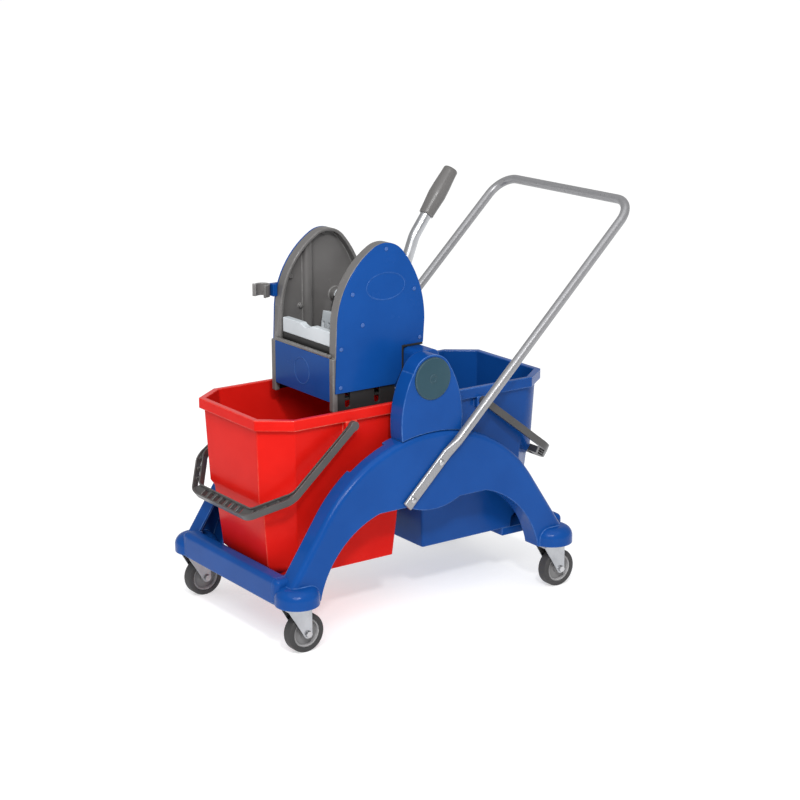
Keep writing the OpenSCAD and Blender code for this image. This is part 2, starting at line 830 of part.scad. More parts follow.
module bucket() {
    lug_w = 24;
    lug_z = pivot_z - 14;
    difference() {
        union() {
            loft(bucket_rings(0, bucket_z0, rim_z));
            translate([0, 0, rim_z - bucket_wall]) linear_extrude(bucket_wall) rim_outline(0);
            translate([0, 0, skirt_z]) linear_extrude(rim_skirt_h - eps) difference() {
                rim_outline(0);
                rim_outline(bucket_wall);
            }
            for (s = [-1, 1]) on_side(s) translate([pivot_x - lug_w / 2, wall_y(lug_z) - 1, lug_z])
                cube([lug_w, lug_y - wall_y(lug_z) + 1, skirt_z - lug_z]);
        }
        loft(bucket_rings(bucket_wall, bucket_z0 + bucket_wall, rim_z + eps));
        for (s = [-1, 1]) on_side(s) translate([pivot_x, lug_y + eps, pivot_z]) rotate([90, 0, 0])
            cylinder(r = peg_r + run, h = lug_y - wall_y(pivot_z) + eps - 1);
    }
}

module red_bucket() {
    color(red) on_end(-1) bucket();
}

module blue_bucket() {
    color(blue) on_end(1) bucket();
}

// Bails: a slotted channel bent round the bucket's outer end, hung on two pegs

// Outer (side 1) or inner (side -1) edge of the bail's far half, narrowed by trim; its corners are round
function bail_edge(side, trim) =
    let (arm = [bail_arm, bail_bend_y], grip = [bail_reach, bail_grip_y],
        along = (grip - arm) / norm(grip - arm),
        lean = 90 + atan2(bail_flare, bail_arm), slope = atan2(along[0], -along[1]),
        n1 = polar(1, lean), n2 = polar(1, slope), n3 = polar(1, 0),
        c1 = arm - bail_bend_r * (n1 + n2) / (1 + n1 * n2),
        c2 = grip - bail_bend_r * (n2 + n3) / (1 + n2 * n3),
        thin = bail_arm_w / 2 - trim, mid = bail_side_w / 2 - trim, wide = bail_w / 2 - trim)
    concat([[0, bail_y] + polar(side * thin, lean)],
        [for (i = [0 : bend_steps]) c1 + polar(bail_bend_r + side * (thin + (mid - thin) * i / bend_steps),
            lean + (slope - lean) * i / bend_steps)],
        [for (i = [0 : bend_steps]) c2 + polar(bail_bend_r + side * (mid + (wide - mid) * i / bend_steps),
            slope * (1 - i / bend_steps))]);

function both_halves(half) = concat(half, [for (p = flip(half)) [p[0], -p[1]]]);

module bail_band(trim) {
    polygon(concat(both_halves(bail_edge(1, trim)), flip(both_halves(bail_edge(-1, trim)))));
}

module bail_slots() {
    slot_pitch = 21;
    grip_slot = [8, 11];
    side_slot = [19, 7];
    corner = [bail_reach - bail_arm, bail_grip_y - bail_bend_y];
    turn = atan2(corner[1], corner[0]);
    for (i = [-3 : 3]) translate([bail_reach, i * slot_pitch]) square(grip_slot, center = true);
    for (s = [-1, 1]) scale([1, s]) {
        translate([bail_arm, bail_bend_y]) rotate(turn) for (i = [0 : 2])
            translate([norm(corner) * (i + 0.7) / 3.4, 0]) square(side_slot, center = true);
    }
}

module bail() {
    lip = 3;
    recess = 5;
    translate([pivot_x, 0, pivot_z]) rotate([0, bail_drop, 0]) {
        difference() {
            union() {
                translate([0, 0, -bail_t / 2]) linear_extrude(bail_t) bail_band(0);
                for (s = [-1, 1]) on_side(s) translate([0, bail_in_y + bail_arm_w, 0]) rotate([90, 0, 0])
                    cylinder(r = bail_eye_r, h = bail_arm_w);
            }
            difference() {
                translate([0, 0, bail_t / 2 - recess]) linear_extrude(recess + eps) bail_band(lip);
                translate([-bail_eye_r, -arch_y, -bail_t]) cube([3 * bail_eye_r, 2 * arch_y, 2 * bail_t]);
            }
            translate([0, 0, -bail_t]) linear_extrude(2 * bail_t) bail_slots();
        }
        for (s = [-1, 1]) on_side(s) translate([0, bail_in_y + eps, 0]) rotate([90, 0, 0])
            cylinder(r = peg_r, h = bail_in_y - wall_y(pivot_z) + eps - 2);
    }
}

module red_bail() {
    color(dark_grey) on_end(-1) bail();
}

module blue_bail() {
    color(dark_grey) on_end(1) bail();
}

// Push handle

module handle_at(t) {
    translate([handle_x0 + t * cos(handle_angle), 0, handle_z0 + t * sin(handle_angle)]) children();
}

module handle_bolt_at(t) {
    handle_at(t) translate([0, foot_y, 0]) rotate([-90, 0, 0]) children();
}

module stadium(w, t) {
    square([w - t, t], center = true);
    for (s = [-1, 1]) translate([s * (w - t) / 2, 0]) circle(t / 2);
}

// The leg is drawn along +Z from the lower bolt, then turned to the handle's slope
module handle_leg() {
    foot_top = foot_len - foot_end;
    in = foot_y - handle_y;
    translate([0, in, -foot_end]) linear_extrude(foot_len) difference() {
        stadium(foot_w, foot_t);
        square([foot_w - foot_t, 1], center = true);
    }
    hull() {
        translate([0, in, foot_top]) linear_extrude(0.1) stadium(foot_w, foot_t, $fn = 24);
        translate([0, 0, foot_top + foot_blend]) linear_extrude(0.1) circle(tube_r, $fn = 32);
    }
}

module handle_bow(r, z0) {
    bar = handle_y - handle_bend_r;
    for (s = [-1, 1]) on_side(s) {
        translate([0, handle_y, z0]) cylinder(r = r, h = handle_len - handle_bend_r - z0);
        translate([0, bar, handle_len - handle_bend_r]) rotate([90, 0, 90]) rotate_extrude(angle = 90)
            translate([handle_bend_r, 0]) circle(r);
    }
    translate([0, 0, handle_len]) rotate([90, 0, 0]) cylinder(r = r, h = 2 * bar, center = true);
}

module push_handle() {
    blend_top = foot_len - foot_end + foot_blend;
    color(tube_silver) difference() {
        translate([handle_x0, 0, handle_z0]) rotate([0, 90 - handle_angle, 0]) difference() {
            union() {
                for (s = [-1, 1]) on_side(s) translate([0, handle_y, 0]) handle_leg();
                handle_bow(tube_r, blend_top);
            }
            handle_bow(tube_r - tube_wall, blend_top);
        }
        for (s = [-1, 1], t = [0, handle_bolt_gap]) on_side(s) handle_bolt_at(t)
            cylinder(r = handle_bolt_r + seat, h = 2 * foot_w, center = true);
    }
}

module handle_bolts() {
    color(zinc) for (s = [-1, 1], t = [0, handle_bolt_gap]) on_side(s) handle_bolt_at(t) {
        translate([0, 0, foot_t / 2 + seat]) intersection() {
            cylinder(r = handle_head_r, h = handle_head_t);
            translate([0, 0, handle_head_t - 8]) sphere(8);
        }
        translate([0, 0, -foot_t / 2 - chassis_wall - 8])
            cylinder(r = handle_bolt_r, h = foot_t + chassis_wall + 9);
    }
}

module handle_nuts() {
    nut_t = 5;
    color(zinc) for (s = [-1, 1], t = [0, handle_bolt_gap]) on_side(s) handle_bolt_at(t)
        translate([0, 0, -foot_t / 2 - chassis_wall - 2 * seat - nut_t]) difference() {
            union() {
                cylinder(r = handle_head_r, h = nut_t, $fn = 6);
                translate([0, 0, nut_t - 1]) cylinder(r = handle_head_r + 1, h = 1);
            }
            translate([0, 0, -eps]) cylinder(r = handle_bolt_r + run, h = nut_t + 2 * eps);
        }
}

// Press: side frames, covers, front, base and fixed jaw

function arc(c, r, from, to, first) =
    [for (i = [first : outline_steps]) c + polar(r, from + (to - from) * i / outline_steps)];

function press_points(inset) =
    let (a = atan2(press_crown[1] - press_front_c[1], press_crown[0] - press_front_c[0]),
        b = atan2(press_crown[1] - press_rear_c[1], press_crown[0] - press_rear_c[0]))
    concat([[press_low_x + inset, press_z0 + inset]],
        arc(press_front_c, press_front_r - inset, 180, a, 0),
        arc(press_crown, press_crown_r - inset, a, b, 1),
        arc(press_rear_c, press_rear_r - inset, b, 0, 1),
        [[tab_x - inset, tab_z + inset], [hook_x - inset, tab_z + inset], [hook_x - inset, hook_z],
        [press_toe_x - inset, press_z0 + inset]]);

module press_outline(inset) {
    polygon(press_points(inset));
}

screw_in = 11;
cover_screw_points = [
    [press_crown[0], press_z1 - screw_in], [press_front_x + 33, press_arc_z + 65],
    [press_rear_x - 25, press_arc_z + 60], [press_front_x + 55, press_arc_z + 5],
    [press_front_x + 7, tab_z + screw_in],
    [press_rear_x - 12, tab_z + screw_in], [press_low_x + 10, press_z0 + screw_in]];
screw_r = 2;
screw_head_r = 3.6;
screw_head_t = 1.6;
screw_boss_r = 4.5;
screw_len = 9;

module at_screws() {
    for (p = cover_screw_points) translate([p[0], 0, p[1]]) rotate([90, 0, 0]) children();
}

module side_frame() {
    rib_x = press_front_x + 72;
    rib_r = 11;
    rib_z0 = panel_z1 + 12;
    difference() {
        union() {
            translate([0, frame_y1, 0]) upright() {
                linear_extrude(frame_wall) press_outline(0);
                linear_extrude(frame_depth) difference() {
                    press_outline(0);
                    press_outline(flange_t);
                }
            }
            translate([0, frame_y1, 0]) at_screws() cylinder(r = screw_boss_r, h = screw_len);
            intersection() {
                translate([rib_x, frame_y1 - frame_wall, rib_z0]) cylinder(r = rib_r, h = press_z1 - rib_z0);
                translate([0, frame_y1 - frame_wall + 1, 0]) upright() linear_extrude(frame_depth)
                    press_outline(1);
            }
            translate([axle_x, frame_y1, axle_pz]) rotate([90, 0, 0])
                cylinder(r = bush_flange_r, h = frame_depth);
            translate([panel_x, post_y, base_z0])
                cube([base_x0 - seat - panel_x, frame_y1 - post_y, panel_z1 - base_z0]);
        }
        translate([axle_x, frame_y1 + eps, axle_pz]) rotate([90, 0, 0])
            cylinder(r = bush_r + run, h = 2 * frame_depth);
        translate([0, frame_y1 + 1, 0]) at_screws() cylinder(r = screw_r + run, h = screw_len);
    }
}

module near_side_frame() {
    color(frame_grey) on_side(-1) side_frame();
}

module far_side_frame() {
    color(frame_grey) on_side(1) side_frame();
}

// A plain raised oval, where such covers carry a badge
badge_c = [press_crown[0], press_arc_z + 72];
badge_a = 44;
badge_b = 26;
badge_line = 1.5;
badge_h = 0.4;

module oval(a, b) {
    polygon([for (i = [0 : 47]) badge_c + [a * cos(i * 7.5), b * sin(i * 7.5)]]);
}

module side_cover() {
    difference() {
        union() {
            translate([0, press_y1, 0]) upright() linear_extrude(cover_t - 0.1) press_outline(0);
            translate([0, press_y1 + badge_h, 0]) upright() linear_extrude(badge_h + 1) difference() {
                oval(badge_a, badge_b);
                oval(badge_a - badge_line, badge_b - badge_line);
            }
        }
        translate([0, press_y1 + eps, 0]) at_screws() cylinder(r = screw_r + 2 * run, h = cover_t + 2 * eps);
    }
}

module near_side_cover() {
    color(blue) on_side(-1) side_cover();
}

module far_side_cover() {
    color(blue) on_side(1) side_cover();
}

module cover_screws() {
    color(blue) for (s = [-1, 1]) on_side(s) translate([0, press_y1 + screw_head_t + run, 0]) at_screws() {
        cylinder(r = screw_head_r, h = screw_head_t);
        cylinder(r = screw_r, h = screw_head_t + cover_t + screw_len - 3);
    }
}

// The panel carries a plain raised ring
module front_panel() {
    ring_r = 26;
    ring_z = (panel_z0 + panel_z1) / 2;
    color(blue) {
        translate([panel_x, -panel_y, panel_z0]) cube([panel_t, 2 * panel_y, panel_z1 - panel_z0 - seat]);
        translate([panel_x - badge_h, 0, ring_z]) rotate([0, 90, 0]) difference() {
            cylinder(r = ring_r, h = badge_h + 1);
            translate([0, 0, -eps]) cylinder(r = ring_r - badge_line, h = badge_h + 1 + 2 * eps);
        }
    }
}

module front_sill() {
    slot_h = 3;
    color(frame_grey) difference() {
        translate([panel_x, -panel_y, panel_z1]) cube([sill_depth, 2 * panel_y, sill_h]);
        translate([panel_x + sill_depth / 3, -panel_y + 12, panel_z1 + sill_h - slot_h])
            cube([sill_depth / 3, 2 * panel_y - 24, slot_h + eps]);
    }
}

// A slotted tray with an upstand for the fixed jaw and a saddle that hangs the press on the cross beam
module drain_base() {
    floor_z = base_z0 + base_floor_h;
    in_y = frame_y0 - 2 * seat;
    link_z = hook_z + 10;
    link_t = 5;
    wall_x = base_x1 - base_wall;
    saddle_z0 = cross_z0 + 2;
    slot_r = 6;
    slot_z = base_z0 + 11;
    drain_w = 8;
    drain_len = 26;
    drain_pitch = 36;
    color(dark_grey) difference() {
        union() {
            for (s = [-1, 1]) on_side(s) translate([base_x0, base_y - base_wall, base_z0])
                cube([base_x1 - base_x0, base_wall, base_h]);
            translate([wall_x, -base_y, base_z0]) cube([base_wall, 2 * base_y, base_h]);
            translate([wall_x, -in_y, base_z0]) cube([base_wall, 2 * in_y, link_z + link_t - base_z0]);
            translate([wall_x, -in_y, link_z]) cube([saddle_x0 + eps - wall_x, 2 * in_y, link_t]);
            translate([saddle_x0, -press_y1, saddle_z0])
                cube([saddle_t, 2 * press_y1, saddle_z1 - saddle_z0]);
            translate([saddle_x0, -press_y1, saddle_z1 - saddle_t])
                cube([tab_x - 1 - saddle_x0, 2 * press_y1, saddle_t]);
            translate([base_x0, -base_y, floor_z]) cube([base_x1 - base_x0, 2 * base_y, base_floor_t]);
            translate([base_x0, -base_y, panel_z0])
                cube([base_wall, 2 * base_y, floor_z + base_floor_t - panel_z0]);
            translate([fixed_jaw_x0, -jaw_y, floor_z])
                cube([upstand_t, 2 * jaw_y, fixed_jaw_z0 - seat - floor_z]);
        }
        for (s = [-1, 1], x = slot_places) on_side(s)
            translate([x, base_y - base_wall - eps, slot_z]) rotate([-90, 0, 0]) {
                cylinder(r = slot_r, h = base_wall + 2 * eps);
                translate([-slot_r, -base_h, 0]) cube([2 * slot_r, base_h, base_wall + 2 * eps]);
            }
        for (x = [0.3, 0.5, 0.7, 0.87], y = [-2 : 2])
            translate([base_x0 + (base_x1 - base_x0) * x, y * drain_pitch, floor_z + base_floor_t / 2])
                cube([drain_w, drain_len, base_floor_t + 2 * eps], center = true);
    }
}

// The white jaw sits over the tray's upstand and reaches down behind it
module fixed_jaw() {
    skirt_x0 = fixed_jaw_x0 + upstand_t + seat;
    skirt_z0 = fixed_jaw_z0 - jaw_skirt_h;
    jaw_x1 = fixed_jaw_x0 + jaw_t;
    color(white) difference() {
        union() {
            translate([fixed_jaw_x0, -jaw_y, fixed_jaw_z0])
                cube([jaw_t, 2 * jaw_y, fixed_jaw_z1 - fixed_jaw_z0]);
            translate([skirt_x0, -jaw_y, skirt_z0]) cube([jaw_x1 - skirt_x0, 2 * jaw_y, jaw_skirt_h + eps]);
        }
        translate([fixed_jaw_x0 - eps, 0, fixed_jaw_z1 + scallop_r - scallop_h]) rotate([0, 90, 0])
            cylinder(r = scallop_r, h = jaw_t + 2 * eps);
        for (y = [-4 : 4]) translate([jaw_x1 - groove, y * groove_pitch - groove, skirt_z0 - eps])
            cube([groove + eps, 2 * groove, fixed_jaw_z1 - skirt_z0 - groove_stop]);
    }
}

// Press: pivot, carrier, moving jaw and lever

module at_axle() {
    translate([axle_x, 0, axle_pz]) children();
}

module pivot_bushes() {
    color(white) for (s = [-1, 1]) on_side(s) at_axle() translate([0, frame_y1 - seat, 0]) rotate([90, 0, 0])
        difference() {
            union() {
                cylinder(r = bush_r, h = frame_depth + bush_flange_t - seat);
                translate([0, 0, frame_depth - seat]) cylinder(r = bush_flange_r, h = bush_flange_t);
            }
            translate([0, 0, -eps]) cylinder(r = axle_r + run, h = frame_depth + bush_flange_t + 2 * eps);
        }
}

module pivot_axle() {
    color(zinc) at_axle() rotate([90, 0, 0]) cylinder(r = axle_r, h = 2 * (frame_y1 - seat), center = true);
}

// The moving jaw is drawn straight down under the axle, then leaned back
module at_jaw() {
    at_axle() rotate([0, jaw_lean, 0]) translate([-jaw_back, 0, 0]) children();
}

module moving_jaw() {
    color(white) at_jaw() difference() {
        translate([-jaw_t, -jaw_y, -jaw_top - jaw_len]) cube([jaw_t, 2 * jaw_y, jaw_len]);
        for (y = [-4 : 4]) translate([-jaw_t - eps, y * groove_pitch - groove, -jaw_top - jaw_len - eps])
            cube([groove + eps, 2 * groove, jaw_len - groove_stop]);
    }
}

module jaw_carrier() {
    color(dark_grey) difference() {
        union() {
            at_axle() rotate([90, 0, 0]) cylinder(r = hub_out_r, h = 2 * hub_y, center = true);
            for (s = [-1, 1]) at_jaw() translate([0, s * arm_y - arm_t / 2, -arm_len])
                cube([jaw_back, arm_t, arm_len]);
            at_jaw() translate([0, -jaw_y, -arm_len]) cube([back_t, 2 * jaw_y, arm_len - jaw_top - back_t]);
            translate([axle_x, -link_t / 2, axle_pz - link_h / 2]) cube([lever_x0 - axle_x, link_t, link_h]);
            at_lever() translate([0, 0, -socket_floor])
                cylinder(r = lever_r + socket_wall, h = socket_len + socket_floor);
        }
        at_axle() rotate([90, 0, 0]) cylinder(r = axle_r + run, h = 2 * hub_y + 2 * eps, center = true);
        at_lever() cylinder(r = lever_r + run, h = 2 * socket_len);
    }
}

// Lever axis along +Z from the bottom of its socket
module at_lever() {
    translate([lever_x0, 0, lever_z0]) rotate([0, 90 - lever_low_angle, 0]) children();
}

module at_lever_top() {
    turn = lever_low_angle - lever_up_angle;
    at_lever() translate([0, 0, lever_low]) translate([lever_bend_r, 0, 0]) rotate([0, turn, 0])
        translate([-lever_bend_r, 0, 0]) children();
}

// The bend is a hair thinner than the straights, whose ends reach a little into it
module lever_run(r, z0, over) {
    turn = lever_low_angle - lever_up_angle;
    lap = 1;
    slip = 0.05;
    at_lever() translate([0, 0, z0]) cylinder(r = r, h = lever_low + lap - z0);
    at_lever() translate([lever_bend_r, 0, lever_low]) rotate([90, 0, 0]) rotate([0, 0, 180 - turn])
        rotate_extrude(angle = turn, $fn = 480) translate([lever_bend_r, 0]) circle(r - slip, $fn = 64);
    at_lever_top() translate([0, 0, -lap]) cylinder(r = r, h = lever_up + lap + over);
}

module lever_tube() {
    wall = 2;
    color("silver") difference() {
        lever_run(lever_r, seat, 0);
        lever_run(lever_r - wall, seat - eps, eps);
    }
}

module lever_grip() {
    big = grip_d / 2;
    neck = big - 3;
    end_r = 5;
    z0 = lever_up + grip_over - grip_len;
    color(frame_grey) at_lever_top() difference() {
        translate([0, 0, z0]) rotate_extrude() {
            polygon([[0, 0], [neck, 0], [neck + 0.6, grip_len * 0.12], [big, grip_len * 0.42],
                [big - 0.8, grip_len * 0.62], [neck + 0.4, grip_len * 0.86], [neck, grip_len - end_r],
                [neck - end_r, grip_len], [0, grip_len]]);
            translate([neck - end_r, grip_len - end_r]) circle(end_r);
        }
        translate([0, 0, z0 - eps]) cylinder(r = lever_r + run, h = lever_up + seat - z0 + eps);
    }
}

// Mop clip and its bracket on the far cover

module clip_bracket() {
    color(blue) translate([clip_edge_x - bracket_len + seat, press_y1 + seat, clip_z - clip_h / 2]) {
        cube([bracket_len + bracket_lap, bracket_t, clip_h]);
        translate([0, -bracket_in, 0]) cube([bracket_len - 2 * seat, bracket_in + bracket_t, clip_h]);
    }
}

module mop_clip() {
    lip_len = 6;
    lip_t = 2.4;
    lip_in = 1;
    color(frame_grey) translate([clip_x, clip_y, clip_z - clip_h / 2]) {
        rotate(clip_turn + clip_gap_angle / 2) rotate_extrude(angle = 360 - clip_gap_angle)
            translate([clip_r, 0]) square([clip_wall, clip_h]);
        for (s = [-1, 1]) rotate(clip_turn) mirror([0, s < 0 ? 1 : 0, 0]) rotate(clip_gap_angle / 2)
            translate([clip_r + lip_in, lip_in, 0]) cube([lip_len, lip_t, clip_h]);
    }
}

module front_near_fork() { color(zinc) at_caster(-1, -1) fork(); }
module front_near_axle_bolt() { color(zinc) at_caster(-1, -1) axle_bolt(); }
module front_near_hub() { color(hub_grey) at_caster(-1, -1) hub(); }
module front_near_tyre() { color(rubber) at_caster(-1, -1) tyre(); }
module front_far_fork() { color(zinc) at_caster(-1, 1) fork(); }
module front_far_axle_bolt() { color(zinc) at_caster(-1, 1) axle_bolt(); }
module front_far_hub() { color(hub_grey) at_caster(-1, 1) hub(); }
module front_far_tyre() { color(rubber) at_caster(-1, 1) tyre(); }
module rear_near_fork() { color(zinc) at_caster(1, -1) fork(); }
module rear_near_axle_bolt() { color(zinc) at_caster(1, -1) axle_bolt(); }
module rear_near_hub() { color(hub_grey) at_caster(1, -1) hub(); }
module rear_near_tyre() { color(rubber) at_caster(1, -1) tyre(); }
module rear_far_fork() { color(zinc) at_caster(1, 1) fork(); }
module rear_far_axle_bolt() { color(zinc) at_caster(1, 1) axle_bolt(); }
module rear_far_hub() { color(hub_grey) at_caster(1, 1) hub(); }
module rear_far_tyre() { color(rubber) at_caster(1, 1) tyre(); }

place() chassis_frame();
place() near_tower();
place() far_tower();
place() tower_screws();
place() cross_beam();
place() cross_bolts();
place() near_disc_cap();
place() far_disc_cap();
place() caster_stems();
place() front_near_fork();
place() front_near_axle_bolt();
place() front_near_hub();
place() front_near_tyre();
place() front_far_fork();
place() front_far_axle_bolt();
place() front_far_hub();
place() front_far_tyre();
place() rear_near_fork();
place() rear_near_axle_bolt();
place() rear_near_hub();
place() rear_near_tyre();
place() rear_far_fork();
place() rear_far_axle_bolt();
place() rear_far_hub();
place() rear_far_tyre();
place() red_bucket();
place() red_bail();
place() blue_bucket();
place() blue_bail();
place() push_handle();
place() handle_bolts();
place() handle_nuts();
place() near_side_frame();
place() far_side_frame();
place() near_side_cover();
place() far_side_cover();
place() cover_screws();
place() front_panel();
place() front_sill();
place() drain_base();
place() fixed_jaw();
place() pivot_bushes();
place() pivot_axle();
place() jaw_carrier();
place() moving_jaw();
place() lever_tube();
place() lever_grip();
place() clip_bracket();
place() mop_clip();
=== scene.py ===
import json
import math

import bmesh
import bpy
from mathutils import Matrix, Vector
from mathutils.geometry import intersect_line_line_2d
from mathutils.kdtree import KDTree

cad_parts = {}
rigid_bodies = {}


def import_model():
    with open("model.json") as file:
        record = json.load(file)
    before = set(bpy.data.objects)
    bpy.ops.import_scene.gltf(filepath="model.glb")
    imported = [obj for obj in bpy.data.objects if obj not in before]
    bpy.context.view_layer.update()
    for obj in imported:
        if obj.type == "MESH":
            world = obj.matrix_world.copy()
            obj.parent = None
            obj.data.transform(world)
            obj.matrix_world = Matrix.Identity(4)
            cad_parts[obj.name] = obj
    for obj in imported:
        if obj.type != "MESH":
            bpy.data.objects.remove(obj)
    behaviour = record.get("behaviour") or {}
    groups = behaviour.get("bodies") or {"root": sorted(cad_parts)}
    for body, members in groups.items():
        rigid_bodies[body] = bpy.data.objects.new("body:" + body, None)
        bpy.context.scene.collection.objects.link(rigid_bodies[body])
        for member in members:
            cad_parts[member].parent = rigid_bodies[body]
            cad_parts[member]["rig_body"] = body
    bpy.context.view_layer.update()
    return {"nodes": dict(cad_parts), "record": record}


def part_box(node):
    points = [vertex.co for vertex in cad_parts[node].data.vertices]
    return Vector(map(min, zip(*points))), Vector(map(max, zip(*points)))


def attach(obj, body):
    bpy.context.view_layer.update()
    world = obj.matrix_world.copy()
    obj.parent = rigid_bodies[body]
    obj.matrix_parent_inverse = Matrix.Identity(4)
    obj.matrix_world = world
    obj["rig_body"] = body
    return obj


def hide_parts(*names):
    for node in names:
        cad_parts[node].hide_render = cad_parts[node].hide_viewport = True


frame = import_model()
nodes = frame["nodes"]


# Node helpers for the procedural finishes

NOISE_ROUGHNESS = 0.55
EDGE_SAMPLES = 8
# Where the paler edge colour, part rubbed wear and part painted highlight, comes in fully and where not at
# all
EDGE_PALE_FULLY, EDGE_PALE_NOT = 0.86, 0.985


def new_material(name):
    mat = bpy.data.materials.new(name)
    mat.use_nodes = True
    tree = mat.node_tree
    tree.nodes.clear()
    out = tree.nodes.new("ShaderNodeOutputMaterial")
    shader = tree.nodes.new("ShaderNodeBsdfPrincipled")
    tree.links.new(shader.outputs["BSDF"], out.inputs["Surface"])
    return mat, tree, shader


def noise(tree, scale, detail=3.0):
    coord = tree.nodes.new("ShaderNodeTexCoord")
    tex = tree.nodes.new("ShaderNodeTexNoise")
    tex.inputs["Scale"].default_value = scale
    tex.inputs["Detail"].default_value = detail
    tex.inputs["Roughness"].default_value = NOISE_ROUGHNESS
    tree.links.new(coord.outputs["Object"], tex.inputs["Vector"])
    return tex.outputs["Fac"]


def ramp(tree, fac, low, high, start=0.35, end=0.65):
    node = tree.nodes.new("ShaderNodeValToRGB")
    node.color_ramp.elements[0].position = start
    node.color_ramp.elements[0].color = (*low, 1.0)
    node.color_ramp.elements[1].position = end
    node.color_ramp.elements[1].color = (*high, 1.0)
    tree.links.new(fac, node.inputs["Fac"])
    return node.outputs["Color"]


def spread(tree, fac, low, high, start=0.3, end=0.7):
    node = tree.nodes.new("ShaderNodeMapRange")
    node.inputs["From Min"].default_value = start
    node.inputs["From Max"].default_value = end
    node.inputs["To Min"].default_value = low
    node.inputs["To Max"].default_value = high
    tree.links.new(fac, node.inputs["Value"])
    return node.outputs["Result"]


def mixed(tree, fac, low, high):
    node = tree.nodes.new("ShaderNodeMix")
    node.data_type = "RGBA"
    tree.links.new(fac, node.inputs["Factor"])
    for socket, colour in (("A", low), ("B", high)):
        target = next(s for s in node.inputs if s.name == socket and s.type == "RGBA")
        if isinstance(colour, tuple):
            target.default_value = (*colour, 1.0)
        else:
            tree.links.new(colour, target)
    return next(s for s in node.outputs if s.type == "RGBA")


def soft_edge(tree, radius):
    node = tree.nodes.new("ShaderNodeBevel")
    node.samples = EDGE_SAMPLES
    node.inputs["Radius"].default_value = radius
    return node.outputs["Normal"]


# One where the rounded normal leaves the face's own, so along the edges, and nought on the flats
def edge_mask(tree, rounded):
    face = tree.nodes.new("ShaderNodeNewGeometry")
    dot = tree.nodes.new("ShaderNodeVectorMath")
    dot.operation = "DOT_PRODUCT"
    tree.links.new(rounded, dot.inputs[0])
    tree.links.new(face.outputs["Normal"], dot.inputs[1])
    return spread(tree, dot.outputs["Value"], 1.0, 0.0, EDGE_PALE_FULLY, EDGE_PALE_NOT)


def bump(tree, shader, height, strength, distance, normal=None):
    node = tree.nodes.new("ShaderNodeBump")
    node.inputs["Strength"].default_value = strength
    node.inputs["Distance"].default_value = distance
    tree.links.new(height, node.inputs["Height"])
    if normal is not None:
        tree.links.new(normal, node.inputs["Normal"])
    tree.links.new(node.outputs["Normal"], shader.inputs["Normal"])


# Moulded plastic: mottled colour, fine grain, rounded edges painted a little paler, partly as rubbed wear and
# partly as a painted highlight

MOTTLE, EDGE_PALE_PATCHES, SHEEN = 9.0, 60.0, 22.0
EDGE_PALE_LEAST, EDGE_PALE_MOST = 0.15, 0.75
GRAIN_DETAIL, GRAIN_STRENGTH = 2.0, 0.25


def plastic(name, low, high, wear_and_highlight, rough, specular, edge, grain=420.0, depth=0.00005):
    mat, tree, shader = new_material(name)
    rounded = soft_edge(tree, edge)
    colour = ramp(tree, noise(tree, MOTTLE), low, high)
    # The edges turn paler in patches: part rubbed wear, part a painted highlight
    edge_pale = tree.nodes.new("ShaderNodeMath")
    edge_pale.operation = "MULTIPLY"
    tree.links.new(edge_mask(tree, rounded), edge_pale.inputs[0])
    tree.links.new(spread(tree, noise(tree, EDGE_PALE_PATCHES), EDGE_PALE_LEAST, EDGE_PALE_MOST), edge_pale.inputs[1])
    tree.links.new(mixed(tree, edge_pale.outputs["Value"], colour, wear_and_highlight), shader.inputs["Base Color"])
    tree.links.new(spread(tree, noise(tree, SHEEN), *rough), shader.inputs["Roughness"])
    shader.inputs["Specular IOR Level"].default_value = specular
    bump(tree, shader, noise(tree, grain, GRAIN_DETAIL), GRAIN_STRENGTH, depth, rounded)
    return mat


# Bare and plated steel, with cloudy patches and a fine grain

CLOUDS, DULLED = 30.0, 60.0
STEEL_GRAIN_STRENGTH, STEEL_EDGE = 0.2, 0.0006


def metal(name, low, high, rough, grain=300.0, depth=0.0001):
    mat, tree, shader = new_material(name)
    tree.links.new(ramp(tree, noise(tree, CLOUDS), low, high), shader.inputs["Base Color"])
    tree.links.new(spread(tree, noise(tree, DULLED), *rough), shader.inputs["Roughness"])
    shader.inputs["Metallic"].default_value = 1.0
    rounded = soft_edge(tree, STEEL_EDGE)
    bump(tree, shader, noise(tree, grain, GRAIN_DETAIL), STEEL_GRAIN_STRENGTH, depth, rounded)
    return mat


# Silver paint on the tube, with the faint cells of a hammered finish

HAMMER_CELLS, HAMMER_MIDDLE, HAMMER_BORDER = 520.0, 0.1, 0.75
HAMMER_PALE, HAMMER_DARK = (0.32, 0.32, 0.33), (0.25, 0.25, 0.26)
HAMMER_PATCHES, HAMMER_ROUGH, HAMMER_METAL = 80.0, (0.26, 0.36), 0.45
HAMMER_STRENGTH, HAMMER_DEPTH = 0.2, 0.0002


def hammered(name):
    mat, tree, shader = new_material(name)
    coord = tree.nodes.new("ShaderNodeTexCoord")
    cells = tree.nodes.new("ShaderNodeTexVoronoi")
    cells.inputs["Scale"].default_value = HAMMER_CELLS
    tree.links.new(coord.outputs["Object"], cells.inputs["Vector"])
    colour = ramp(tree, cells.outputs["Distance"], HAMMER_PALE, HAMMER_DARK, HAMMER_MIDDLE, HAMMER_BORDER)
    tree.links.new(colour, shader.inputs["Base Color"])
    tree.links.new(spread(tree, noise(tree, HAMMER_PATCHES), *HAMMER_ROUGH), shader.inputs["Roughness"])
    shader.inputs["Metallic"].default_value = HAMMER_METAL
    bump(tree, shader, cells.outputs["Distance"], HAMMER_STRENGTH, HAMMER_DEPTH)
    return mat
